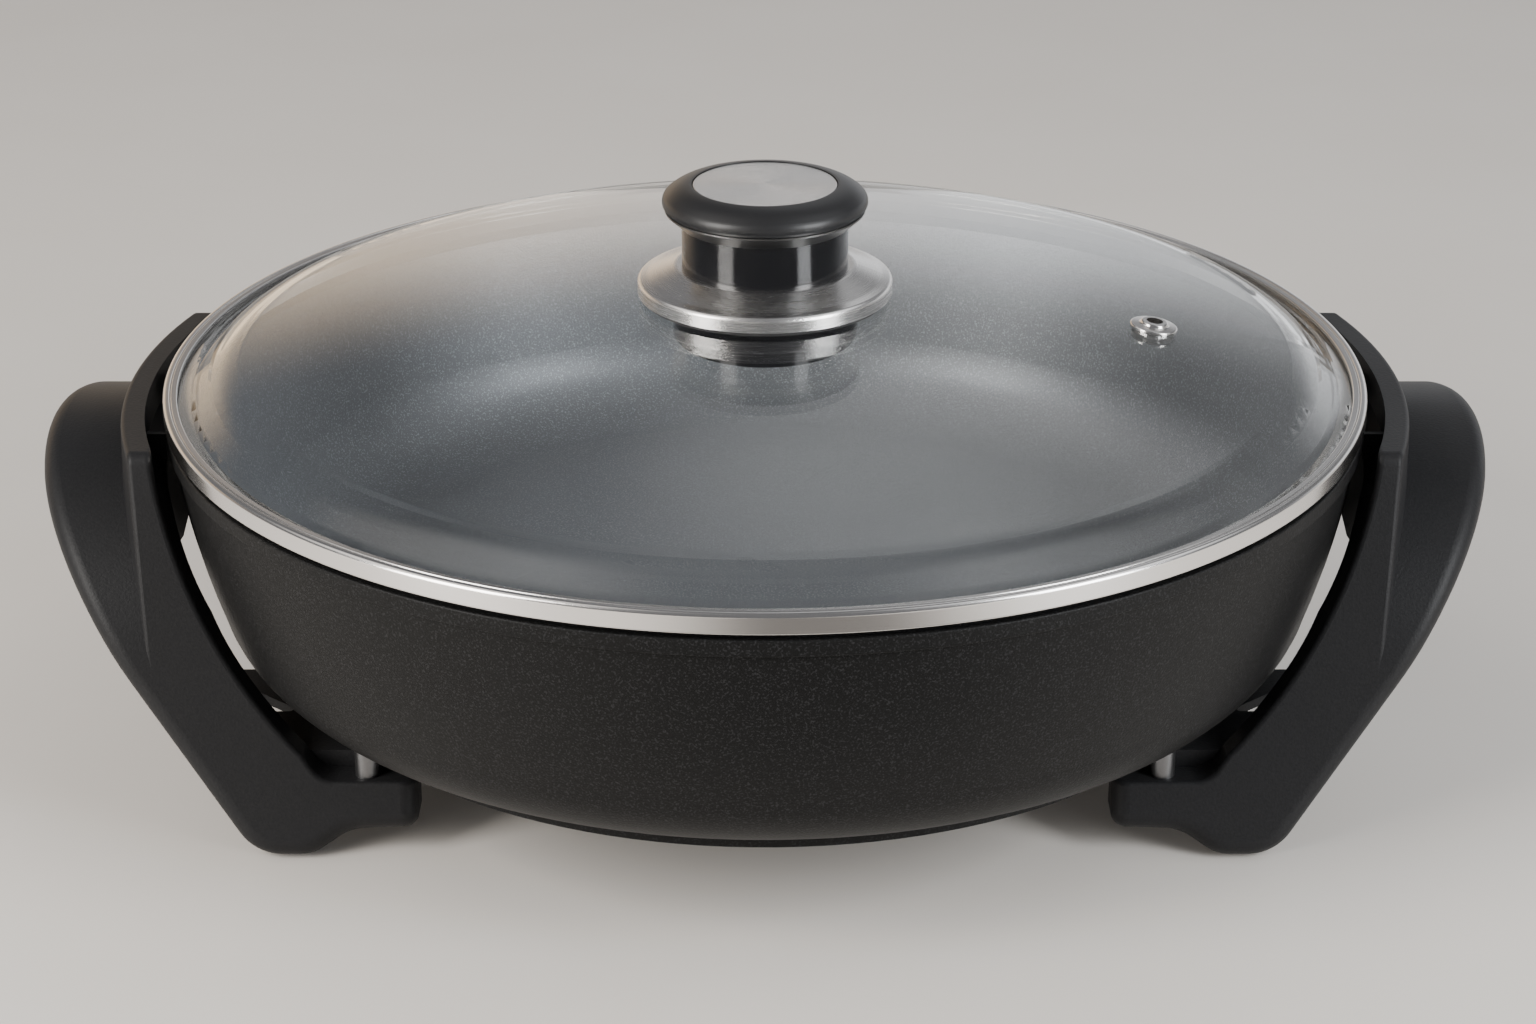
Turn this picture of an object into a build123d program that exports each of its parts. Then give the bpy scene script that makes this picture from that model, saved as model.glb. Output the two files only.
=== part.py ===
from build123d import *

import os
from math import atan, cos, degrees, radians, sin, sqrt, tan

# An electric skillet: a round die-cast pan with a heating element pressed into its base, carried
# by two moulded brackets that are handle and legs in one, and closed by a loose glass lid.
# Millimetres, +Z up.  The origin is the pan's axis on the counter, the front is -Y, the grips are
# at +X and -X, and the socket for the plug-in thermostat is under the pan's rear.
# The foot ring and the element's rib are cast in one with the pan; each has a node of its own.

# ---------------------------------------------------------------- driving dimensions
LID_RADIUS = 181.0  # outside of the lid's steel rim
RIM_Z = 121.0  # height of the lid's rim above the counter

PAN_LIP_RADIUS = 180.5
PAN_LIP_Z = RIM_Z - 7.0
SEAT_Z = RIM_Z - 5.4  # the ring on the pan that carries the lid
SEAT_INNER, SEAT_OUTER = 174.5, 178.2
WALL_TOP = (179.2, RIM_Z - 12.2)
WALL_LOW = (168.3, 59.3)
WALL_BULGE = 1.3
CORNER_CENTRE = (143.0, 65.1)
CORNER_RADIUS = 26.0
PAN_UNDERSIDE_Z = CORNER_CENTRE[1] - CORNER_RADIUS
FLOOR_Z = 44.0
FLOOR_CORNER_RADIUS = 30.0
INNER_WALL_FOOT = 160.3  # where the inner wall would meet the floor with no fillet
BASE_RING = (136.0, 144.0)  # the ring cast under the pan
BASE_RING_Z = 33.5
RING_GAP_HALF_WIDTH = 23.0  # the ring is open at the rear, over the socket
FOOT_BOSS_RADIUS, FOOT_BOSS_BORE = 5.0, 2.05

ELEMENT_RADIUS = 105.0  # centre line of the heating loop
ELEMENT_TUBE = 3.3
ELEMENT_Z = 34.3
ELEMENT_RIB = (98.0, 112.0)
ELEMENT_RIB_Z = 31.0
TERMINAL_Y = 16.0  # the socket's parts are drawn along +X and then turned to the rear
TERMINAL_BEND = 16.0
PIN_RADIUS, PIN_CORE_RADIUS = 2.5, 2.2
PIN_START_X, PIN_SHOULDER_X, PIN_END_X = 152.0, 156.5, 172.5
BUSH_X = (152.6, 156.1)
SLEEVE_OUTER, SLEEVE_BORE = 4.6, 3.5
SLEEVE_START_X, SLEEVE_BORE_X, SLEEVE_END_X = 118.5, 128.0, 162.0
BOSS_END_X = 127.0  # the block that holds the sleeve's closed end and the element's terminals
SLEEVE_BOSS_X, SLEEVE_BOSS_HALF_WIDTH, SLEEVE_BOSS_Z = 110.0, 8.0, 28.5
TERMINAL_BLOCK_Y = 22.0
SHROUD_SCREW = (121.0, 27.5)
SHROUD_SCREW_RADIUS, SHROUD_BOSS_RADIUS = 1.45, 6.5
SHROUD_X = (150.0, 180.5)
SHROUD_Z = (18.5, 51.0)
SHROUD_HALF_WIDTH = 24.2
SHROUD_WALL = 2.4
EAR_Z = (30.2, 33.2)  # the shroud's two ears, under their bosses
EAR_OUTER_Y = 34.5
SCREW_HOLE_TOP = 38.9
SCREW_TIP_Z = 38.5

DOME_RADIUS = 851.5
DOME_TOP = RIM_Z + 23.03
GLASS = 4.0
KNOB_HOLE = 6.0
VENT_AT = (116.5, -10.0)
VENT_HOLE = 4.6
KNOB_SEAT_Z = RIM_Z + 23.5
COLUMN_Z = RIM_Z + 32.0
COLLAR_Z = RIM_Z + 45.0
CAP_Z = RIM_Z + 49.5
SPIGOT_RADIUS = 8.0
INSERT_RADIUS = 5.0
DISC_RADIUS = 21.6
LOWER_BASE_TOP = RIM_Z + 17.9
LOWER_BASE_Z = RIM_Z + 5.8
LOWER_BASE_RADIUS = 27.8

GRIP_CREST_Z = RIM_Z - 14.0  # top of the grip's arch
CREST_RADIUS = 110.0
CREST_HALF_WIDTH = 32.0
LEG_LEAN = 16.4  # degrees that a leg's front face leans from the vertical
FOOT_FACE_Y = 95.0  # the front face at the counter
FOOT_Z = 0.6
SKIN = 3.0  # moulded wall
EDGE_DEPTH = 8.0  # depth of the turned-in edges of the grip and the legs
BAND_TOP_Z = RIM_Z - 5.3
BAND_INNER, BAND_OUTER = 186.5, 193.6
BAND_FOOT_Z = 52.0
BAND_DRAFT = 2.0
BAND_END_RADIUS = 4.0
BAND_ROUND = 1.6
GUARD = (21.0, 54.0), (27.0, 58.0), (40.0, 76.0), (46.0, 98.0)  # half of its side view, (Y, Z)
BRACKET_X = (95.0, 225.0)  # a little more than the bracket's reach
OUTER_ROUND = 1.6  # rounding of the arch's outer edges
ROOM_TOP_Z = 105.2  # where the room for the pan's lip begins
WEB_X = (118.0, 163.0)
WEB_WINDOW = (139.5, 53.0), (157.0, 53.0), (157.0, 37.5)
WEB_WAIST = (128.0, 58.0)  # the web's inner edge stands back here, between the toes
TOE_END_X = 101.5
TOE_TOP_Z = 23.5
TOE_BACK_Y = 73.0
TOE_ROUND = 5.0
TOE_SCREW = (116.5, 82.5)
HEAD_SEAT_Z = 15.5  # where a bracket screw's washer seats in the toe
PAD_RADIUS = 4.2
PAD_TOP_Z = 2.0
PAD_AT = (138.8, 83.5)
WEB_Z = (26.0, 29.0)
WEB_NOTCH_Y = 24.6

os.makedirs("parts", exist_ok=True)


# ---------------------------------------------------------------- helpers
def turned(section):
    """A piece turned about the pan's axis from a section drawn as (radius, height)."""
    return revolve(Plane.XZ * section, Axis.Z)


def tube(outer, inner, low, high):
    """A plain ring or bush standing on the pan's axis."""
    return turned(Pos((outer + inner) / 2, (low + high) / 2) * Rectangle(outer - inner, high - low))


def rod(radius, low, high):
    """A plain cylinder standing on the pan's axis."""
    return Pos(0, 0, low) * Cylinder(radius, high - low, align=(Align.CENTER, Align.CENTER, Align.MIN))


def block(x, y, z):
    """A box between two values on each axis."""
    corner = Pos(min(x), min(y), min(z))
    return corner * Box(x[1] - x[0], y[1] - y[0], z[1] - z[0], align=(Align.MIN,) * 3)


def along_x(radius, start, end, y, z):
    """A cylinder lying along X."""
    return Pos(start, y, z) * Rot(0, 90, 0) * Cylinder(
        radius, end - start, align=(Align.CENTER, Align.CENTER, Align.MIN)
    )


def glass_z(radius, depth=0.0):
    """Height of the lid's dome, or of the surface that lies at a depth below it."""
    return DOME_TOP - DOME_RADIUS + sqrt((DOME_RADIUS - depth) ** 2 - radius**2)


def seat_on_dome(inner, outer, flat_z, depth=0.0):
    """A ring with one flat face, whose other face follows the glass at the given depth."""
    edge = ThreePointArc(*((r, glass_z(r, depth)) for r in (inner, (inner + outer) / 2, outer)))
    rest = Polyline(edge @ 1, (outer, flat_z), (inner, flat_z), edge @ 0)
    return turned(make_face(edge + rest))


def to_rear(piece):
    """Turns a piece that was drawn along +X to the rear of the pan."""
    return Rot(0, 0, 90) * piece


def four_places(piece, x, y):
    """The same piece at the four screw places under the pan."""
    return [Pos(sx * x, sy * y, 0) * piece for sx in (-1, 1) for sy in (-1, 1)]


def save(name, *pieces):
    """Writes one node; like pieces share a node as separate solids."""
    solids = [solid for piece in pieces for solid in piece.solids()]
    shape = solids[0] if len(solids) == 1 else Compound(solids)
    export_step(shape, f"parts/{name}.step")


# ---------------------------------------------------------------- pan
def pan_outer():
    """The outside of the pan from its lip to the middle of its underside, as one line."""
    top, low, centre = Vector(*WALL_TOP), Vector(*WALL_LOW), Vector(*CORNER_CENTRE)
    outwards = Vector(top.Y - low.Y, low.X - top.X).normalized()
    bulge = (top + low) * 0.5 + outwards * WALL_BULGE
    corner_mid = centre + Vector(CORNER_RADIUS, 0).rotate(Axis.Z, -51.5)
    bottom = (CORNER_CENTRE[0], PAN_UNDERSIDE_Z)
    return [
        ThreePointArc(WALL_TOP, bulge, WALL_LOW),
        ThreePointArc(WALL_LOW, corner_mid, bottom),
        Line(bottom, (0, PAN_UNDERSIDE_Z)),
    ]


def pan_casting():
    lip = FilletPolyline(
        (SEAT_INNER, RIM_Z - 13.0),
        (SEAT_INNER, SEAT_Z),
        (SEAT_OUTER, SEAT_Z),
        (SEAT_OUTER, PAN_LIP_Z),
        (PAN_LIP_RADIUS, PAN_LIP_Z),
        (PAN_LIP_RADIUS, RIM_Z - 11.6),
        WALL_TOP,
        radius=[0.6, 0.6, 0, 0.6, 0.5],
    )
    inside = FilletPolyline(
        (0, FLOOR_Z), (INNER_WALL_FOOT, FLOOR_Z), (SEAT_INNER, RIM_Z - 13.0), radius=FLOOR_CORNER_RADIUS
    )
    axis = Line((0, PAN_UNDERSIDE_Z), (0, FLOOR_Z))
    return turned(make_face(Curve() + [lip, inside, axis] + pan_outer()))


def pan_envelope(gap):
    """The room that the pan's outside takes up, grown by a gap."""
    top = WALL_TOP[1]
    closing = Polyline((0, PAN_UNDERSIDE_Z), (0, top), WALL_TOP)
    grown = offset(make_face(Curve() + pan_outer() + [closing]), gap)
    return turned(grown & Pos(100, 100) * Rectangle(200, 200))


def element_path():
    """The heating loop, open at one side, with both ends turned outwards."""
    reach = ELEMENT_RADIUS + TERMINAL_BEND
    bend_y = TERMINAL_Y + TERMINAL_BEND
    bend_x = sqrt(reach**2 - bend_y**2)
    meet = (bend_x * ELEMENT_RADIUS / reach, bend_y * ELEMENT_RADIUS / reach)
    loop = ThreePointArc((meet[0], -meet[1]), (-ELEMENT_RADIUS, 0), meet)
    half_turn = atan(bend_y / bend_x)
    mid_angle = radians(180) + (half_turn + radians(90)) / 2
    wires = [loop]
    for side in (-1, 1):
        mid = (bend_x + TERMINAL_BEND * cos(mid_angle), side * (bend_y + TERMINAL_BEND * sin(mid_angle)))
        start = (meet[0], side * meet[1])
        end = (bend_x, side * TERMINAL_Y)
        wires += [ThreePointArc(start, mid, end), Line(end, (PIN_START_X, side * TERMINAL_Y))]
    return Wire(Curve() + wires)


def element_sweep(radius):
    path = Pos(0, 0, ELEMENT_Z) * element_path()
    start = path @ 0
    section = Plane(start, z_dir=path % 0) * Circle(radius)
    return sweep(section, path)


pan = pan_casting()
save("pan_body", pan)

foot_ring = tube(BASE_RING[1], BASE_RING[0], BASE_RING_Z, PAN_UNDERSIDE_Z)
ring_gap = (-RING_GAP_HALF_WIDTH, RING_GAP_HALF_WIDTH)
gap_x = (BASE_RING[0] - 6, BASE_RING[1] + 6)
foot_ring -= to_rear(block(gap_x, ring_gap, (BASE_RING_Z - 1, PAN_UNDERSIDE_Z + 1)))
for boss in four_places(rod(FOOT_BOSS_RADIUS, BASE_RING_Z, PAN_UNDERSIDE_Z), *TOE_SCREW):
    foot_ring += boss
for hole in four_places(rod(FOOT_BOSS_BORE, BASE_RING_Z - 1, SCREW_HOLE_TOP), *TOE_SCREW):
    foot_ring -= hole
save("pan_foot_ring", foot_ring)


def element_rib():
    """The rib that holds the element, with its terminal block and the two bosses of the shroud."""
    rib = tube(ELEMENT_RIB[1], ELEMENT_RIB[0], ELEMENT_RIB_Z, PAN_UNDERSIDE_Z)
    block_y = (-TERMINAL_BLOCK_Y, TERMINAL_BLOCK_Y)
    rib += block((ELEMENT_RIB[0], BOSS_END_X), block_y, (ELEMENT_RIB_Z, PAN_UNDERSIDE_Z))
    boss_y = (-SLEEVE_BOSS_HALF_WIDTH, SLEEVE_BOSS_HALF_WIDTH)
    rib += block((SLEEVE_BOSS_X, BOSS_END_X), boss_y, (SLEEVE_BOSS_Z, PAN_UNDERSIDE_Z))
    for side in (-1, 1):
        place = Pos(SHROUD_SCREW[0], side * SHROUD_SCREW[1], 0)
        rib += place * rod(SHROUD_BOSS_RADIUS, EAR_Z[1], PAN_UNDERSIDE_Z)
        rib -= place * rod(SHROUD_SCREW_RADIUS, EAR_Z[1] - 1, SCREW_HOLE_TOP)
    rib -= element_sweep(ELEMENT_TUBE + 0.1)
    slot = trace(element_path(), line_width=2 * ELEMENT_TUBE + 0.2)
    rib -= Pos(0, 0, ELEMENT_RIB_Z - 3) * extrude(slot, ELEMENT_Z - ELEMENT_RIB_Z + 3)
    return rib - along_x(SLEEVE_OUTER + 0.05, SLEEVE_START_X - 0.5, BOSS_END_X + 1, 0, ELEMENT_Z)


save("element_rib", to_rear(element_rib()))

# ---------------------------------------------------------------- heating element and socket
save("heating_element", to_rear(element_sweep(ELEMENT_TUBE)))
pins, insulators = [], []
for side in (-1, 1):
    y = side * TERMINAL_Y
    pin = along_x(PIN_RADIUS, PIN_SHOULDER_X, PIN_END_X, y, ELEMENT_Z)
    pin = fillet(pin.edges().sort_by(Axis.X)[-1], 1.2)
    pin += along_x(PIN_CORE_RADIUS, PIN_START_X, PIN_SHOULDER_X, y, ELEMENT_Z)
    pins.append(to_rear(pin))
    bush = along_x(5.2, *BUSH_X, y, ELEMENT_Z)
    insulators.append(to_rear(bush - along_x(PIN_CORE_RADIUS + 0.05, *BUSH_X, y, ELEMENT_Z)))
save("terminal_pins", *pins)
save("terminal_insulators", *insulators)
sleeve = along_x(SLEEVE_OUTER, SLEEVE_START_X, SLEEVE_END_X, 0, ELEMENT_Z)
sleeve -= along_x(SLEEVE_BORE, SLEEVE_BORE_X, SLEEVE_END_X + 1, 0, ELEMENT_Z)
save("probe_sleeve", to_rear(sleeve))


def socket_shroud():
    """The open box round the pins, with two ears that reach under the foot ring to their bosses."""
    sides = (-SHROUD_HALF_WIDTH, SHROUD_HALF_WIDTH)
    shape = block(SHROUD_X, sides, SHROUD_Z)
    shape = fillet(shape.edges().filter_by(Axis.X), 5.0)
    room_y = (sides[0] + SHROUD_WALL, sides[1] - SHROUD_WALL)
    room_z = (SHROUD_Z[0] + SHROUD_WALL, SHROUD_Z[1] - SHROUD_WALL)
    room = block((SHROUD_X[0] + SHROUD_WALL, SHROUD_X[1] + 1), room_y, room_z)
    shape -= fillet(room.edges().filter_by(Axis.X), 2.8)
    through = (SHROUD_X[0] - 1, SHROUD_X[0] + SHROUD_WALL + 1)
    for side in (-1, 1):
        y = sorted((side * (TERMINAL_BLOCK_Y + 0.2), side * EAR_OUTER_Y))
        ear = block((SHROUD_SCREW[0] - 7, SHROUD_X[0] + 10), y, EAR_Z)
        ear = fillet(ear.edges().filter_by(Axis.Z).group_by(Axis.X)[0], 5.0)
        shape += ear - Pos(SHROUD_SCREW[0], side * SHROUD_SCREW[1], 0) * rod(1.7, 26, 40)
        shape -= along_x(ELEMENT_TUBE + 0.2, *through, side * TERMINAL_Y, ELEMENT_Z)
    shape -= along_x(SLEEVE_OUTER + 0.2, *through, 0, ELEMENT_Z)
    return shape - pan_envelope(1.0)


save("socket_shroud", to_rear(socket_shroud()))

screws = []
for side in (-1, 1):
    head = rod(2 * SHROUD_SCREW_RADIUS, EAR_Z[0] - 2.0, EAR_Z[0])
    head = fillet(head.edges().group_by(Axis.Z)[0], 0.9)
    shank = rod(SHROUD_SCREW_RADIUS, EAR_Z[0], SCREW_TIP_Z)
    screw = Pos(SHROUD_SCREW[0], side * SHROUD_SCREW[1], 0) * (head + shank)
    screws.append(to_rear(screw))
save("shroud_screws", *screws)


# ---------------------------------------------------------------- brackets: handle and legs in one
def arch_line(depth):
    """Half of the bracket's side view: from the grip's crest down a leg's face to the counter.

    Two tangent arcs make the grip's crest and its shoulder, and a straight run makes the leg.
    A depth gives the parallel line inside the moulding.
    """
    lean = radians(LEG_LEAN)
    crest_turn = degrees(atan(CREST_HALF_WIDTH / sqrt(CREST_RADIUS**2 - CREST_HALF_WIDTH**2)))
    shoulder_turn = 90 - LEG_LEAN - crest_turn
    a, b = radians(crest_turn), radians(90 - LEG_LEAN)
    crest_drop = CREST_RADIUS * (1 - cos(a))
    run = FOOT_FACE_Y - CREST_HALF_WIDTH - (GRIP_CREST_Z - crest_drop) * tan(lean)
    shoulder_radius = run / (sin(b) - sin(a) - (cos(a) - cos(b)) * tan(lean))
    crest = JernArc((0, GRIP_CREST_Z - depth), (1, 0), CREST_RADIUS - depth, -crest_turn)
    shoulder = JernArc(crest @ 1, crest % 1, shoulder_radius - depth, -shoulder_turn)
    foot = (shoulder @ 1).X + (shoulder @ 1).Y * tan(lean)
    return Curve() + [crest, shoulder, Line(shoulder @ 1, (foot, 0))]


def arch_section(depth):
    """The area under the arch at a depth, both halves, standing on the counter."""
    half = arch_line(depth)
    foot = half @ 1
    half_face = make_face(half + Polyline(foot, (0, 0), half @ 0))
    return half_face + mirror(half_face, Plane.YZ)


def side_section():
    """The bracket's side view: the arch's turned-in wall, and the deeper shoes at its feet."""
    shoes = arch_section(0) & Pos(0, WEB_Z[0] / 2) * Rectangle(2.5 * FOOT_FACE_Y, WEB_Z[0])
    shoes -= Rectangle(2 * TOE_BACK_Y, 2 * RIM_Z)
    return arch_section(0) - arch_section(EDGE_DEPTH) + shoes


def front_outline():
    """The bracket seen from the front: the grip's tip, the sloping leg, the foot and the toe."""
    outer = FilletPolyline(
        (177.4, BAND_TOP_Z + 1),
        (220.0, BAND_TOP_Z + 1),
        (220.0, 103.6),
        (189.0, 55.0),
        (149.6, FOOT_Z),
        (132.6, FOOT_Z),
        (121.5, 8.0),
        (TOE_END_X, 8.6),
        (TOE_END_X, TOE_TOP_Z),
        (129.6, TOE_TOP_Z),
        (134.9, 31.0),
        radius=[0, 9.0, 300.0, 15.0, 12.0, 16.0, 4.0, 0, 9.0],
    )
    inner = ThreePointArc((134.9, 31.0), (163.0, 69.5), (177.4, BAND_TOP_Z + 1))
    return make_face(outer + inner)


def across(section):
    """A side-view section carried along X, past both ends of the bracket."""
    return Pos(BRACKET_X[0], 0, 0) * extrude(Plane.YZ * section, BRACKET_X[1] - BRACKET_X[0])


def along_y(section):
    """A front-view section carried through the whole depth of the bracket."""
    half_depth = 1.2 * FOOT_FACE_Y
    return Pos(0, half_depth, 0) * extrude(Plane.XZ * section, 2 * half_depth)


def pan_room():
    """The space that the bracket leaves free for the pan, a few millimetres larger than it."""
    side = ThreePointArc((181.5, 98.0), (175.2, 69.5), (152.0, 36.0))
    top = Polyline((0, 130.0), (BAND_INNER, 130.0), (BAND_INNER, ROOM_TOP_Z), (181.5, 98.0))
    return turned(make_face(side + top + Polyline((152.0, 36.0), (0, 36.0), (0, 130.0))))


def runs_round_band(edge):
    """True for an edge that the band's rounding follows: along its top and down its two ends."""
    start, middle, end = (edge @ at for at in (0, 0.5, 1))
    straight_across = abs(start.Y - end.Y) + abs(start.Z - end.Z) < 0.01
    end_y = FOOT_FACE_Y - middle.Z * tan(radians(LEG_LEAN))
    on_side = abs(abs(middle.Y) - end_y) < 0.02 or middle.Z > BAND_TOP_Z - BAND_END_RADIUS
    return on_side and middle.Z > BAND_FOOT_Z + 0.1 and not straight_across


def band():
    """The raised wall that follows the pan's rim between the two legs, standing on the grip."""
    lean = tan(radians(LEG_LEAN))
    low_y, top_y = (FOOT_FACE_Y - z * lean for z in (BAND_FOOT_Z, BAND_TOP_Z))
    corners = (-low_y, BAND_FOOT_Z), (low_y, BAND_FOOT_Z), (top_y, BAND_TOP_Z), (-top_y, BAND_TOP_Z)
    side = Polygon(*corners, align=None)
    side = fillet(side.vertices().group_by(Axis.Y)[-1], BAND_END_RADIUS)
    foot_radius = BAND_OUTER + (BAND_TOP_Z - BAND_FOOT_Z) * tan(radians(BAND_DRAFT))
    inner_face = (140.0, BAND_FOOT_Z), (140.0, BAND_TOP_Z)
    outer_face = (BAND_OUTER, BAND_TOP_Z), (foot_radius, BAND_FOOT_Z)
    wall = Polygon(*inner_face, *outer_face, align=None)
    ring = across(side) & turned(wall) & along_y(front_outline())
    ring = fillet(ring.edges().filter_by(runs_round_band), BAND_ROUND)
    return ring - pan_room() - across(arch_section(EDGE_DEPTH))


def guard():
    """The thin wall below the band's middle that keeps fingers off the hot pan."""
    half = GUARD + ((0.0, 98.0), (0.0, GUARD[0][1]))
    side = make_face(FilletPolyline(*half, radius=[0, 6.0, 12.0, 0, 0, 0], close=True))
    wall = tube(BAND_INNER + SKIN, BAND_INNER, BAND_FOOT_Z - 20.0, RIM_Z)
    return across(side + mirror(side, Plane.YZ)) & wall


def web():
    """The flat tie between the two legs, notched at its middle, with a window beside each leg."""
    half_width = TOE_BACK_Y + 5.0
    above_and_below = (WEB_Z[0] - 1.0, WEB_Z[1] + 1.0)
    notch = block((WEB_WAIST[0] + 18.0, WEB_X[1] + 1.0), (-WEB_NOTCH_Y, WEB_NOTCH_Y), above_and_below)
    waist = block((WEB_X[0] - 1.0, WEB_WAIST[0]), (-WEB_WAIST[1], WEB_WAIST[1]), above_and_below)
    notch = fillet(notch.edges().filter_by(Axis.Z).group_by(Axis.X)[0], 4.0)
    waist = fillet(waist.edges().filter_by(Axis.Z).group_by(Axis.X)[-1], 6.0)
    plate = block(WEB_X, (-half_width, half_width), WEB_Z) - notch - waist
    window = make_face(FilletPolyline(*WEB_WINDOW, radius=1.5, close=True))
    window = Pos(0, 0, above_and_below[0]) * extrude(window + mirror(window, Plane.XZ), 5.0)
    plate -= window
    for side in (-1, 1):
        root_y = sorted((side * (TOE_BACK_Y - 2.0), side * half_width))
        plate += block((WEB_X[0], WEB_WAIST[0] + 6.0), root_y, (TOE_TOP_Z - 1.0, WEB_Z[0] + 1.0))
    rib_x = (WEB_WAIST[0], WEB_WAIST[0] + SKIN)
    return plate + block(rib_x, (-TOE_BACK_Y - 2.0, TOE_BACK_Y + 2.0), (WEB_Z[0] - 6.0, WEB_Z[0]))


def runs_up_toe_end(edge):
    """True for an edge that stands in the plane of a toe's end."""
    return max(abs((edge @ at).X - TOE_END_X) for at in (0, 1)) < 0.01 and abs((edge % 0.5).Z) > 0.9


def bounds_outer_face(edge):
    """True for an edge along the arch's outer face, but not for one that crosses it straight."""
    points = [edge @ at for at in (0, 0.5, 1)]
    gap = max(arch_line(0).distance_to(Vertex(abs(point.Y), point.Z, 0)) for point in points)
    return gap < 0.03 and abs((edge % 0.5).X) < 0.99


def bracket():
    """One moulding, drawn at +X: an arched grip, a band round the rim, two legs, toes and a web."""
    outline = front_outline()
    body = across(side_section()) & along_y(outline)
    body = fillet(body.edges().filter_by(runs_up_toe_end), TOE_ROUND)
    body = fillet(body.edges().filter_by(bounds_outer_face), OUTER_ROUND)
    hollow = across(arch_section(SKIN) - arch_section(EDGE_DEPTH + 4)) & along_y(offset(outline, -SKIN))
    body -= hollow & block(BRACKET_X, (-FOOT_FACE_Y, FOOT_FACE_Y), (WEB_Z[1] + 2, RIM_Z))
    body -= pan_room()
    body += band()
    body += guard()
    body += web()
    for side in (-1, 1):
        lug = block((176.0, BAND_INNER + 2), sorted((side * 24.0, side * 26.0)), (100.0, 108.0))
        body += lug - rod(PAN_LIP_RADIUS + 0.4, 90.0, RIM_Z)
        screw_way = rod(2.3, 0, TOE_TOP_Z + 1) + rod(4.6, 0, HEAD_SEAT_Z)
        body -= Pos(TOE_SCREW[0], side * TOE_SCREW[1], 0) * screw_way
        body -= Pos(PAD_AT[0], side * PAD_AT[1], 0) * rod(PAD_RADIUS, 0, PAD_TOP_Z)
    return body


right = bracket()
save("right_bracket", right)
save("left_bracket", mirror(right, Plane.YZ))

# ---------------------------------------------------------------- fixings of the brackets
spacer = rod(3.5, TOE_TOP_Z, BASE_RING_Z) - rod(2.2, TOE_TOP_Z, BASE_RING_Z)
washer = rod(4.3, HEAD_SEAT_Z - 0.8, HEAD_SEAT_Z) - rod(2.15, HEAD_SEAT_Z - 0.8, HEAD_SEAT_Z)
screw_head = fillet(rod(3.8, HEAD_SEAT_Z - 3.4, HEAD_SEAT_Z - 0.8).edges().group_by(Axis.Z)[0], 0.9)
screw = screw_head + rod(1.95, HEAD_SEAT_Z - 0.8, SCREW_TIP_Z)
save("bracket_spacers", *four_places(spacer, *TOE_SCREW))
save("bracket_washers", *four_places(washer, *TOE_SCREW))
save("bracket_screws", *four_places(screw, *TOE_SCREW))
pad = fillet(rod(PAD_RADIUS, 0, PAD_TOP_Z).edges().group_by(Axis.Z)[0], 0.4)
save("foot_pads", *four_places(pad, *PAD_AT))

# ---------------------------------------------------------------- lid: glass, rim and vent
def glass_line():
    """The glass's upper surface from its edge, up the shoulder and over the dome."""
    dome_start = 158.0
    slope = dome_start / sqrt(DOME_RADIUS**2 - dome_start**2)
    shoulder = (163.5, glass_z(dome_start) - (163.5 - dome_start) * slope)
    edge = FilletPolyline(
        (LID_RADIUS - 1.3, RIM_Z - 0.8),
        (173.8, RIM_Z - 0.8),
        shoulder,
        (dome_start, glass_z(dome_start)),
        radius=[7.0, 20.0],
    )
    dome = ThreePointArc(*((r, glass_z(r)) for r in (dome_start, dome_start / 2, KNOB_HOLE)))
    return Curve() + [edge, dome]


vent_plane = Plane(
    (VENT_AT[0], VENT_AT[1], glass_z(sqrt(VENT_AT[0] ** 2 + VENT_AT[1] ** 2))),
    z_dir=(VENT_AT[0], VENT_AT[1], sqrt(DOME_RADIUS**2 - VENT_AT[0] ** 2 - VENT_AT[1] ** 2)),
)
glass = turned(make_face(offset(glass_line(), amount=GLASS, side=Side.LEFT, closed=True)))
glass -= vent_plane * rod(VENT_HOLE, -8, 4)
save("lid_glass", glass)

rim = FilletPolyline(
    (171.6, RIM_Z - 8.6),
    (172.4, RIM_Z - 8.6),
    (172.4, SEAT_Z),
    (LID_RADIUS, SEAT_Z),
    (LID_RADIUS, RIM_Z + 0.7),
    (179.0, RIM_Z + 0.7),
    (178.7, RIM_Z + 0.1),
    (178.4, RIM_Z + 0.6),
    (176.6, RIM_Z + 0.5),
    (176.6, RIM_Z - 0.8),
    (LID_RADIUS - 1.1, RIM_Z - 0.8),
    (LID_RADIUS - 1.1, RIM_Z - 4.8),
    (171.6, RIM_Z - 4.8),
    radius=[0, 0, 0, 0.7, 1.3, 0.4, 0, 0.3, 0.5, 0, 0, 0, 0],
    close=True,
)
save("lid_rim", turned(make_face(rim)))


def vent_piece(section):
    """A small turned piece standing on the dome at the vent."""
    return vent_plane * revolve(Plane.XZ * section, Axis.Z)


eyelet = FilletPolyline(
    (2.5, 2.2),
    (4.0, 2.2),
    (4.3, 1.2),
    (7.15, 1.0),
    (7.15, 0.0),
    (4.2, 0.0),
    (4.2, -5.4),
    (6.2, -5.4),
    (6.2, -6.0),
    (2.5, -6.0),
    radius=[0.6, 0.6, 0.5, 0, 0, 0, 0, 0.4],
)
eyelet_section = make_face(Curve() + [eyelet, Line((2.5, -6.0), (2.5, 2.2))])
save("steam_vent", vent_piece(eyelet_section))
save("vent_washer", vent_piece(Pos(5.3, -4.72) * Rectangle(2.0, 1.32)))

# ---------------------------------------------------------------- lid knob
save("knob_gasket", seat_on_dome(KNOB_HOLE, 37.0, KNOB_SEAT_Z))

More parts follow.
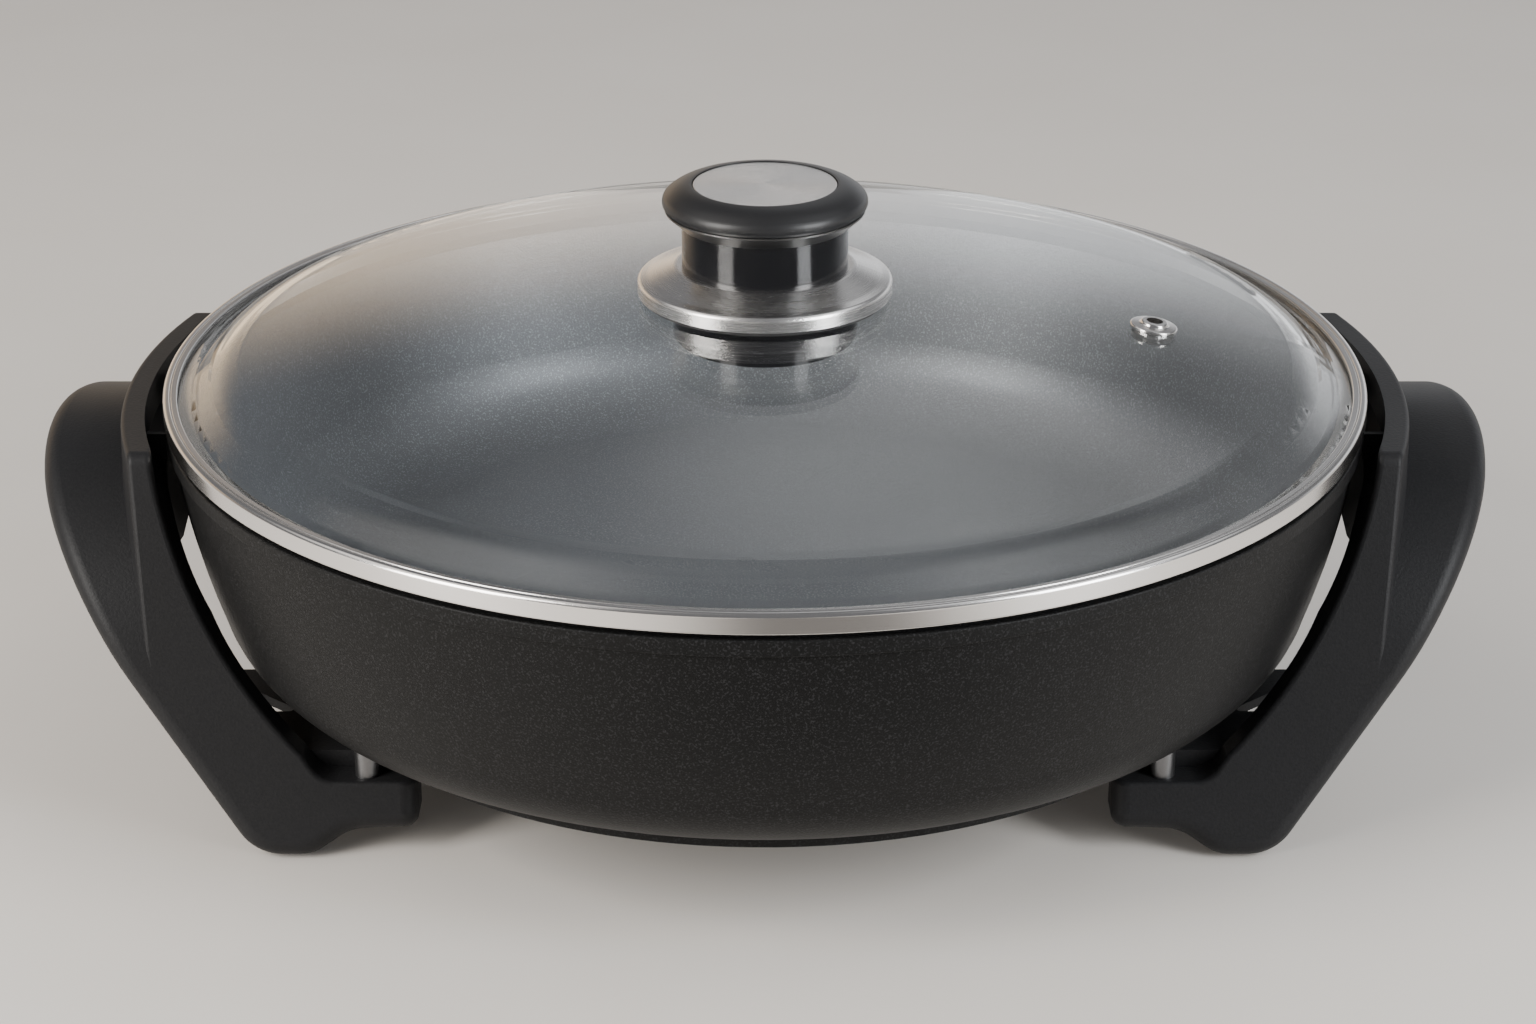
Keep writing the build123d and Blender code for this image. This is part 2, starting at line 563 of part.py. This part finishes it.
flange_line = FilletPolyline(
    (38.4, KNOB_SEAT_Z),
    (38.4, RIM_Z + 27.8),
    (35.5, RIM_Z + 28.6),
    (27.0, COLUMN_Z),
    (SPIGOT_RADIUS + 0.1, COLUMN_Z),
    radius=[1.4, 8.0, 3.0],
)
save("knob_flange", turned(make_face(offset(flange_line, amount=1.2, side=Side.LEFT, closed=True))))

column = Polygon(
    (INSERT_RADIUS + 0.02, KNOB_SEAT_Z),
    (SPIGOT_RADIUS, KNOB_SEAT_Z),
    (SPIGOT_RADIUS, COLUMN_Z),
    (25.0, COLUMN_Z),
    (25.0, COLLAR_Z),
    (12.1, COLLAR_Z),
    (12.1, COLLAR_Z - 3.5),
    (INSERT_RADIUS + 0.02, COLLAR_Z - 3.5),
    align=None,
)
save("knob_column", turned(column))
save("knob_insert", tube(INSERT_RADIUS, 3.05, KNOB_SEAT_Z + 0.5, COLLAR_Z - 4.5))

collar_flare = (25.5, COLLAR_Z), (30.0, CAP_Z - 0.5), (30.0, CAP_Z)
collar = Polygon((12.1, COLLAR_Z), *collar_flare, (12.1, CAP_Z), align=None)
save("knob_collar", turned(collar))

cap_top = RIM_Z + 57.0
cap_edge = ThreePointArc((29.6, CAP_Z), (30.8, CAP_Z + 2.4), (29.9, CAP_Z + 4.3))
cap_crown = TangentArc(cap_edge @ 1, (DISC_RADIUS + 0.9, cap_top), tangent=cap_edge % 1)
cap_rest = Polyline(
    cap_crown @ 1,
    (DISC_RADIUS + 0.2, cap_top),
    (DISC_RADIUS + 0.2, cap_top - 1.2),
    (0, cap_top - 1.2),
    (0, COLLAR_Z - 3.4),
    (12.0, COLLAR_Z - 3.4),
    (12.0, CAP_Z),
    cap_edge @ 0,
)
save("knob_cap", turned(make_face(Curve() + [cap_edge, cap_crown, cap_rest])))
save("knob_disc", fillet(rod(DISC_RADIUS, cap_top - 1.2, cap_top - 0.2).edges().group_by(Axis.Z)[-1], 0.3))

save("knob_lower_gasket", seat_on_dome(KNOB_HOLE, 26.8, LOWER_BASE_TOP, depth=GLASS))
lower_base = Polygon(
    (3.3, RIM_Z + 11.8),
    (8.0, RIM_Z + 11.8),
    (8.0, LOWER_BASE_Z),
    (LOWER_BASE_RADIUS, LOWER_BASE_Z),
    (LOWER_BASE_RADIUS, LOWER_BASE_TOP),
    (3.3, LOWER_BASE_TOP),
    align=None,
)
rounded = lower_base.vertices().sort_by_distance((LOWER_BASE_RADIUS, LOWER_BASE_Z))[:1]
save("knob_lower_base", turned(fillet(rounded, 3.2)))
save("knob_washer", tube(7.2, 3.1, RIM_Z + 10.8, RIM_Z + 11.8))
knob_screw = fillet(rod(5.0, RIM_Z + 7.4, RIM_Z + 10.8).edges().group_by(Axis.Z)[0], 1.0)
save("knob_screw", knob_screw + rod(2.95, RIM_Z + 10.8, RIM_Z + 39.5))
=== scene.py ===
from math import cos, pi, radians, sin

import bpy
import numpy as np
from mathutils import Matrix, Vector


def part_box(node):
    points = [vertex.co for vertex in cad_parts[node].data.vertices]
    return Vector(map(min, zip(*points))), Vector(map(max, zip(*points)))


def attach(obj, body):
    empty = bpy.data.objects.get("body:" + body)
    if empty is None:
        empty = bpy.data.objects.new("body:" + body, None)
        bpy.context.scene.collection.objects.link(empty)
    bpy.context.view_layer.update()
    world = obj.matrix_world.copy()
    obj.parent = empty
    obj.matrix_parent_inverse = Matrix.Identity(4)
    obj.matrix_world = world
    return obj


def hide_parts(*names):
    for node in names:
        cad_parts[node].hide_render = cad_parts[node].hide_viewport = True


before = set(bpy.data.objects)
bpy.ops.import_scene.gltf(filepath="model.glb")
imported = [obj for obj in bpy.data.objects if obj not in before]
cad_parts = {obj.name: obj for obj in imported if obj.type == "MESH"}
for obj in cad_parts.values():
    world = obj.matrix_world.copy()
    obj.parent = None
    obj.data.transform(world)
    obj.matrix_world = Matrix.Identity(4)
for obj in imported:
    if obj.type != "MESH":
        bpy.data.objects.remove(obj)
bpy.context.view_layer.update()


# ---------------------------------------------------------------- viewpoint
# The viewer stands 92 cm in front of the pan's axis and 47 cm above the counter, and looks down
# at 23.5 degrees through a 76 mm lens, so the skillet just fills the width of the frame.
def placed(name, data):
    """A new object in the scene that shows the data."""
    thing = bpy.data.objects.new(name, data)
    bpy.context.scene.collection.objects.link(thing)
    return thing


lens = bpy.data.cameras.new("viewpoint")
lens.lens = 75.94
downward_tilt = 0.4106
viewpoint = placed("viewpoint", lens)
viewpoint.location = (0.0009, -0.92296, 0.47309)
viewpoint.rotation_euler = (pi / 2 - downward_tilt, 0, 0)
bpy.context.scene.camera = viewpoint


# ---------------------------------------------------------------- counter
# A plain pale counter top without an edge, matt, with the faintest mottling. Only where it is
# mirrored a dark patch is painted in front of the skillet, a painted dark reflection in the steel
# rim's middle.
class Field:
    """A socket of a finish. Arithmetic on it adds Math nodes, so a pattern reads as a formula."""

    def __init__(self, finish, socket):
        self.finish = finish
        self.socket = socket

    def __add__(self, other):
        return self.finish.maths("ADD", self, other)

    def __radd__(self, other):
        return self.finish.maths("ADD", other, self)

    def __sub__(self, other):
        return self.finish.maths("SUBTRACT", self, other)

    def __rsub__(self, other):
        return self.finish.maths("SUBTRACT", other, self)

    def __mul__(self, other):
        return self.finish.maths("MULTIPLY", self, other)

    def __rmul__(self, other):
        return self.finish.maths("MULTIPLY", other, self)

    def __truediv__(self, other):
        return self.finish.maths("DIVIDE", self, other)


class Finish:
    """A procedural finish: a Principled surface whose sockets take plain values or Fields."""

    def __init__(self, name):
        self.material = bpy.data.materials.new(name)
        self.material.use_nodes = True
        self.start(self.material.node_tree, "Principled BSDF", "Object")

    def start(self, tree, surface, coordinates):
        """Takes up a node tree, its surface node and the coordinates that patterns follow."""
        self.tree = tree
        self.surface = tree.nodes[surface]
        self.place = self.node("ShaderNodeTexCoord", output=coordinates)
        self.x, self.y, self.z = (
            self.node("ShaderNodeSeparateXYZ", sockets={0: self.place}, output=axis)
            for axis in "XYZ"
        )

    def feed(self, node, sockets):
        """Sets each named socket of a node to a plain value, or links a Field to it."""
        for name, value in sockets.items():
            if isinstance(value, Field):
                self.tree.links.new(value.socket, node.inputs[name])
            else:
                node.inputs[name].default_value = value

    def node(self, kind, settings=None, sockets=None, output=0):
        """Adds a node, its settings first and then its sockets, and gives one of its outputs."""
        node = self.tree.nodes.new(kind)
        for name, value in (settings or {}).items():
            setattr(node, name, value)
        self.feed(node, sockets or {})
        return Field(self, node.outputs[output])

    def maths(self, operation, *values):
        """A Math node on plain values or Fields."""
        return self.node("ShaderNodeMath", {"operation": operation}, dict(enumerate(values)))

    def positive(self, value):
        """The value where it is above 0, and 0 elsewhere."""
        return self.maths("MAXIMUM", value, 0.0)

    def length(self, a, b):
        """The root of a squared plus b squared."""
        return self.maths("SQRT", a * a + b * b)

    def spread(self, value, low, high):
        """Maps a value from low..high onto 0..1, smoothly and clamped."""
        sockets = {"Value": value, "From Min": low, "From Max": high}
        return self.node("ShaderNodeMapRange", {"interpolation_type": "SMOOTHSTEP"}, sockets)

    def noise(self, scale, detail, at=None):
        """Soft noise of a scale in features per metre, with octaves of finer detail."""
        sockets = {"Vector": at or self.place, "Scale": scale, "Detail": detail}
        return self.node("ShaderNodeTexNoise", sockets=sockets)

    def blend(self, mask, first, second):
        """One colour where the mask is 0, the other where it is 1.

        A Mix node's colours go in at its sockets 6 and 7, and come out at 2.
        """
        sockets = {0: mask, 6: first, 7: second}
        return self.node("ShaderNodeMix", {"data_type": "RGBA"}, sockets, output=2)

    def relief(self, height, distance):
        """A bump whose height runs from 0 to 1 over a distance in metres."""
        return self.node("ShaderNodeBump", sockets={"Height": height, "Distance": distance})

    def done(self, **sockets):
        """Feeds the surface. base_color stands for its socket Base Color, and so on."""
        for name, value in sockets.items():
            label = name.replace("_", " ").title().replace("Ior", "IOR")
            self.feed(self.surface, {label: value})


counter_finish = Finish("counter")
mottling = counter_finish.noise(9.0, 4.0)
pale = counter_finish.blend(mottling, (0.78, 0.73, 0.67, 1), (0.83, 0.79, 0.74, 1))
# The painted dark reflection begins between 19 and 27 cm in front of the axis, and fades out 5 to
# 22 cm aside.
dark_reflection_middle = 0.06
aside = counter_finish.maths("ABSOLUTE", counter_finish.x - dark_reflection_middle)
in_front = counter_finish.spread(counter_finish.y, -0.19, -0.27)
painted_dark_reflection = counter_finish.spread(aside, 0.22, 0.05) * in_front
# Glossy rays alone see this painted dark patch, in the dark colour below; the viewer sees the
# counter plain.
mirrored = counter_finish.node("ShaderNodeLightPath", output="Is Glossy Ray")
counter_finish.done(
    base_color=counter_finish.blend(painted_dark_reflection * mirrored, pale, (0.15, 0.14, 0.13, 1)),
    roughness=0.55,
)
counter_radius, edge_points = 8.0, 96
angle = np.linspace(0, 2 * pi, edge_points, endpoint=False)
edge = counter_radius * np.stack([np.cos(angle), np.sin(angle), 0 * angle], axis=1)
counter_mesh = bpy.data.meshes.new("counter")
counter_mesh.from_pydata(edge.tolist(), [], [list(range(edge_points))])
counter_mesh.materials.append(counter_finish.material)
counter = placed("counter", counter_mesh)


# ---------------------------------------------------------------- room
# A dim room with a bright bank high at each side, a small one high behind the skillet, and a pale
# backdrop low behind it, warm at the left and cool at the right. The glass and the polished steel
# mirror them. Past the counter the viewer sees a plain pale wall.
class Room(Finish):
    """The same node arithmetic on the world's background. x, y and z are the way looked in."""

    def __init__(self, name):
        self.world = bpy.data.worlds.new(name)
        self.world.use_nodes = True
        self.start(self.world.node_tree, "Background", "Generated")

    def glow(self, azimuth, elevation, width):
        """1 towards a direction, falling off smoothly to 0 at a width from it, all in degrees."""
        a, e = radians(azimuth), radians(elevation)
        sockets = {0: self.place, 1: (sin(a) * cos(e), cos(a) * cos(e), sin(e))}
        along = self.node("ShaderNodeVectorMath", {"operation": "DOT_PRODUCT"}, sockets, "Value")
        return self.spread(along, cos(radians(width)), 1.0)


room = Room("room")
bpy.context.scene.world = room.world
dim, plain_wall = (0.17, 0.172, 0.18, 1), (0.58, 0.565, 0.55, 1)
left_bank, right_bank = (1.45, 1.40, 1.35, 1), (1.35, 1.37, 1.40, 1)
rear_bank = (0.95, 0.96, 0.98, 1)
warm, cool = (1.50, 1.14, 0.78, 1), (1.26, 1.28, 1.32, 1)
light = room.blend(room.glow(10, 40, 15), dim, rear_bank)
backdrop = room.spread(room.z, 0.40, 0.12) * room.spread(room.y, 0.2, 0.7)
hue = room.blend(room.spread(room.x, -0.35, 0.15), warm, cool)
light = room.blend(backdrop, light, hue)
light = room.blend(room.glow(-93, 52, 31), light, left_bank)
light = room.blend(room.glow(93, 52, 30), light, right_bank)
seen = room.node("ShaderNodeLightPath", output="Is Camera Ray")
room.done(color=room.blend(seen, light, plain_wall), strength=1.0)

# ---------------------------------------------------------------- lamps
# An upright softbox at each side of the viewer, turned to the skillet, the left one a little
# warmer and stronger. They light its front and draw the sheen on the mouldings.
skillet_middle = Vector((0, 0, 0.08))


def softbox(name, place, size, watts, colour):
    """A rectangular lamp at a place, turned to the skillet's middle."""
    lamp = bpy.data.lights.new(name, "AREA")
    lamp.shape = "RECTANGLE"
    lamp.size, lamp.size_y = size
    lamp.energy = watts
    lamp.color = colour
    box = placed(name, lamp)
    box.location = place
    box.rotation_euler = (skillet_middle - Vector(place)).to_track_quat("-Z", "Y").to_euler()


softbox("key_left", (-1.15, -0.80, 0.70), (0.6, 1.1), 30, (1.0, 0.97, 0.93))
softbox("key_right", (1.15, -0.80, 0.65), (0.5, 1.0), 24, (0.96, 0.98, 1.0))


# ---------------------------------------------------------------- pan
# Die-cast aluminium, blasted and sprayed: a black lacquer outside, and inside a dark grey
# non-stick coating that holds fine metal flakes, painted lighter than the outside as painted light
# from above falling into the pan. The two meet on the lip.
def wear(finish, *names):
    """Gives CAD nodes a finish."""
    for name in names:
        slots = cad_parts[name].data.materials
        slots.clear()
        slots.append(finish.material)


coating = Finish("pan_coating")
# The inner face is told from the outer by the middle of the wall. In section that is an arc
# about the centre of the pan's corner, and above the centre's height it leans outwards.
corner_centre, corner_radius = 0.143, 0.026
half_wall, wall_lean = 0.002, 0.212
corner_height = float(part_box("pan_body")[0][2]) + corner_radius
beyond = coating.positive(coating.length(coating.x, coating.y) - corner_centre)
below = coating.positive(corner_height - coating.z)
lean = wall_lean * coating.positive(coating.z - corner_height)
depth_inside = (corner_radius - half_wall) + lean - coating.length(beyond, below)
half_meeting = 0.0004
inside = coating.spread(depth_inside, -half_meeting, half_meeting)
flakes = coating.spread(coating.noise(1700.0, 1.0), 0.52, 0.72)
cloud = coating.noise(14.0, 3.0)
grain = coating.noise(1500.0, 2.0)
lacquer = coating.blend(flakes, (0.008, 0.008, 0.008, 1), (0.023, 0.023, 0.024, 1))
# Painted light: the inside's greys are lighter than the outside's, standing in for the light from
# above.
painted_lit_ground = coating.blend(cloud, (0.095, 0.099, 0.106, 1), (0.118, 0.122, 0.130, 1))
painted_lit_nonstick = coating.blend(flakes, painted_lit_ground, (0.195, 0.205, 0.22, 1))
coating.done(
    base_color=coating.blend(inside, lacquer, painted_lit_nonstick),
    metallic=0.5 * inside,
    roughness=0.40 + 0.08 * cloud,
    specular_ior_level=0.12,
    normal=coating.relief(grain, 0.00009),
)
wear(coating, "pan_body", "pan_foot_ring", "element_rib")

# ---------------------------------------------------------------- heating element and socket
# A tubular element with an oxidised steel sheath, pressed into the rib under the floor. Its plain
# steel pins stand in ceramic bushes, beside a turned sleeve for the sensing rod.
sheath = Finish("element_sheath")
oxide = sheath.noise(220.0, 4.0)
sheath.done(
    base_color=sheath.blend(oxide, (0.10, 0.085, 0.07, 1), (0.30, 0.27, 0.24, 1)),
    metallic=1.0,
    roughness=0.38 + 0.25 * oxide,
)
wear(sheath, "heating_element")

pin_steel = Finish("pin_steel")
pin_steel.done(
    base_color=(0.62, 0.61, 0.58, 1),
    metallic=1.0,
    roughness=0.22 + 0.2 * pin_steel.noise(900.0, 3.0),
)
wear(pin_steel, "terminal_pins", "probe_sleeve")

ceramic = Finish("ceramic")
pores = ceramic.noise(2500.0, 3.0)
ceramic.done(
    base_color=ceramic.blend(pores, (0.66, 0.62, 0.54, 1), (0.80, 0.77, 0.70, 1)),
    roughness=0.72,
    normal=ceramic.relief(pores, 0.00004),
)
wear(ceramic, "terminal_insulators")

# ---------------------------------------------------------------- brackets
# Black phenolic mouldings with an even spark-eroded texture, held to the pan by a screw up
# through each toe. The housing of the socket is moulded in the same stuff.
moulding = Finish("bracket_moulding")
texture = moulding.noise(1300.0, 2.0)
sheen = moulding.noise(30.0, 2.0)
moulding.done(
    base_color=moulding.blend(texture, (0.011, 0.011, 0.012, 1), (0.021, 0.021, 0.022, 1)),
    roughness=0.42 + 0.08 * sheen,
    specular_ior_level=0.18,
    normal=moulding.relief(texture, 0.00007),
)
wear(moulding, "left_bracket", "right_bracket", "socket_shroud")

# ---------------------------------------------------------------- fixings and feet
# Zinc-plated screws and washers, turned steel spacers between the toes and the pan, and rubber
# pads pressed into the feet. The knob's screw and the lid's gaskets are of the same stuffs.
zinc = Finish("zinc_plate")
spangle = zinc.noise(700.0, 3.0)
zinc.done(
    base_color=zinc.blend(spangle, (0.50, 0.50, 0.52, 1), (0.64, 0.64, 0.64, 1)),
    metallic=1.0,
    roughness=0.25 + 0.2 * spangle,
)
wear(zinc, "bracket_screws", "bracket_washers", "shroud_screws", "knob_screw", "knob_washer")


def turned_marks(finish, across, along):
    """Noise drawn out round the Z axis, as a lathe or a polishing wheel leaves it.

    It is read at (along x / r, along y / r, across (r + 1.37 z)): across gives the rings' number
    in a metre, also up an upright side, and along how often they change on the way round.
    """
    radius = finish.length(finish.x, finish.y)
    rings = (radius + finish.z * 1.37) * across
    sockets = {"X": finish.x / radius * along, "Y": finish.y / radius * along, "Z": rings}
    return finish.noise(1.0, 3.0, at=finish.node("ShaderNodeCombineXYZ", sockets=sockets))


spacer = Finish("spacer_steel")
cuts = turned_marks(spacer, 4000.0, 5.0)
spacer.done(
    base_color=spacer.blend(cuts, (0.16, 0.16, 0.165, 1), (0.26, 0.26, 0.265, 1)),
    metallic=1.0,
    roughness=0.34 + 0.1 * cuts,
)
wear(spacer, "bracket_spacers")

rubber = Finish("pad_rubber")
bloom = rubber.noise(600.0, 3.0)
rubber.done(
    base_color=rubber.blend(bloom, (0.018, 0.018, 0.018, 1), (0.034, 0.033, 0.032, 1)),
    roughness=0.78,
    normal=rubber.relief(bloom, 0.00005),
)
wear(rubber, "foot_pads", "knob_gasket", "knob_lower_gasket", "vent_washer")

# ---------------------------------------------------------------- lid glass
# Tempered soda-lime glass, 4 mm, sagged to a shallow dome with a bent shoulder. Lamps shine
# through it on what it covers. Its index is set below the real 1.5, so that the room mirrored in
# it hides less of the pan's inside.
glass = Finish("lid_glass")
glass.done(base_color=(0.985, 0.995, 0.99, 1), roughness=0.0, transmission_weight=1.0, ior=1.36)
clear = glass.node("ShaderNodeBsdfTransparent", sockets={"Color": (0.95, 0.96, 0.96, 1)})
lamp_ray = glass.node("ShaderNodeLightPath", output="Is Shadow Ray")
body = Field(glass, glass.surface.outputs["BSDF"])
through = glass.node("ShaderNodeMixShader", sockets={0: lamp_ray, 1: body, 2: clear})
glass.feed(glass.tree.nodes["Material Output"], {"Surface": through})
wear(glass, "lid_glass")


# ---------------------------------------------------------------- lid rim
# Stainless strip, rolled round the edge of the glass: a bright bead, a turned-in groove, a flat
# foot that stands on the pan's seat and a skirt that hangs inside it. It is one section carried
# round the lid. The steam eyelet is drawn from the same steel.
def rounded_outline(corners, radii, points=8):
    """A closed outline with round corners, and its outward normals, both as (r, z) rows.

    The corners run with the outside on the right. At each, an arc of its radius touches both
    sides, and its points are its centre plus or minus the radius times a normal that turns evenly.
    """
    away = np.roll(corners, -1, 0) - corners
    away /= np.linalg.norm(away, axis=1, keepdims=True)
    arriving = np.roll(away, 1, 0)
    leftward = arriving[:, 0] * away[:, 1] - arriving[:, 1] * away[:, 0]
    turn = np.arctan2(leftward, (arriving * away).sum(1))
    start = corners - arriving * (radii * np.tan(np.abs(turn) / 2))[:, None]
    facing = np.arctan2(-arriving[:, 0], arriving[:, 1])
    angles = facing[:, None] + turn[:, None] * np.linspace(0, 1, points)
    normals = np.stack([np.cos(angles), np.sin(angles)], axis=2)
    reach = (np.sign(turn) * radii)[:, None, None]
    outline = start[:, None] + reach * (normals - normals[:, :1])
    return outline.reshape(-1, 2), normals.reshape(-1, 2)


def carried_round(rows, a):
    """(r, z) rows carried round Z to angles a, one after another: (r cos a, r sin a, z)."""
    grid = np.broadcast_arrays(rows[:, 0] * np.cos(a), rows[:, 0] * np.sin(a), rows[:, 1])
    return np.stack(grid, axis=2).reshape(-1, 3)


def turned_piece(name, outline, normals, steps=400):
    """A closed outline carried round Z, on a grid of angles by its points, with true normals."""
    a = np.linspace(0, 2 * pi, steps, endpoint=False)[:, None]
    here = np.arange(steps * len(outline)).reshape(steps, -1)
    ahead = np.roll(here, -1, 0)
    corners = [here, ahead, np.roll(ahead, -1, 1), np.roll(here, -1, 1)]
    mesh = bpy.data.meshes.new(name)
    mesh.from_pydata(carried_round(outline, a), [], np.stack(corners, axis=2).reshape(-1, 4))
    mesh.shade_smooth()
    mesh.normals_split_custom_set_from_vertices(carried_round(normals, a))
    return placed(name, mesh)


# The section's corners in mm: the distance from the axis, the depth below the top of the bead,
# and the radius that rounds the corner.
millimetre = 0.001
outer_radius = 180.98
rim_section = millimetre * np.array([
    (171.6, 9.3, 0.1), (172.4, 9.3, 0.1), (172.4, 6.1, 0.1),  # skirt inside the pan's seat
    (outer_radius, 6.1, 0.7), (outer_radius, 0.0, 1.3),  # foot, outer face and bead
    (179.0, 0.0, 0.4), (178.7, 0.6, 0.1), (178.4, 0.1, 0.3),  # groove
    (176.6, 0.2, 0.45), (176.6, 1.5, 0.1),  # lip on top of the glass
    (179.9, 1.5, 0.1), (179.9, 5.5, 0.1), (171.6, 5.5, 0.1),  # channel that holds the glass
])
distance, depth, rounding = rim_section.T
rim_top = float(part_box("lid_rim")[1][2])
rim_corners = np.stack([distance, rim_top - depth], axis=1)
rim = turned_piece("rim", *rounded_outline(rim_corners, rounding))
rim_steel = Finish("rim_steel")
rolling = turned_marks(rim_steel, 9000.0, 6.0)
rim_steel.done(
    base_color=rim_steel.blend(rolling, (0.74, 0.72, 0.70, 1), (0.86, 0.84, 0.82, 1)),
    metallic=1.0,
    roughness=0.13 + 0.10 * rolling,
)
rim.data.materials.append(rim_steel.material)
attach(rim, "lid")
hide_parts("lid_rim")
wear(rim_steel, "steam_vent")

# ---------------------------------------------------------------- knob
# A spun stainless flange, a gloss black column, a dark metallic collar, and a satin black cap
# with a spin-brushed steel disc let into its top. A brass insert in the column takes the screw
# that comes up through the glass.
flange_steel = Finish("flange_steel")
spinning = turned_marks(flange_steel, 7000.0, 3.0)
flange_steel.done(
    base_color=flange_steel.blend(spinning, (0.76, 0.745, 0.73, 1), (0.90, 0.885, 0.87, 1)),
    metallic=1.0,
    roughness=0.20 + 0.12 * spinning,
    normal=flange_steel.relief(spinning, 0.00002),
)
wear(flange_steel, "knob_flange")

gloss = Finish("knob_gloss")
gloss.done(base_color=(0.008, 0.008, 0.009, 1), roughness=0.10 + 0.06 * gloss.noise(60.0, 2.0))
wear(gloss, "knob_column", "knob_lower_base")

collar = Finish("collar_metal")
collar_marks = turned_marks(collar, 5000.0, 4.0)
collar.done(
    base_color=collar.blend(collar_marks, (0.12, 0.12, 0.12, 1), (0.18, 0.18, 0.18, 1)),
    metallic=1.0,
    roughness=0.26 + 0.1 * collar_marks,
)
wear(collar, "knob_collar")

satin = Finish("knob_satin")
satin_grain = satin.noise(1800.0, 2.0)
satin.done(
    base_color=satin.blend(satin_grain, (0.010, 0.010, 0.011, 1), (0.016, 0.016, 0.017, 1)),
    roughness=0.36 + 0.05 * satin_grain,
    normal=satin.relief(satin_grain, 0.00003),
)
wear(satin, "knob_cap")

disc_steel = Finish("disc_steel")
brushing = turned_marks(disc_steel, 9000.0, 1.2)
disc_steel.done(
    base_color=disc_steel.blend(brushing, (0.76, 0.755, 0.75, 1), (0.92, 0.91, 0.905, 1)),
    metallic=1.0,
    roughness=0.20 + 0.10 * brushing,
    normal=disc_steel.relief(brushing, 0.00006),
)
wear(disc_steel, "knob_disc")

brass = Finish("brass")
brass.done(
    base_color=(0.72, 0.55, 0.27, 1),
    metallic=1.0,
    roughness=0.25 + 0.2 * brass.noise(900.0, 3.0),
)
wear(brass, "knob_insert")
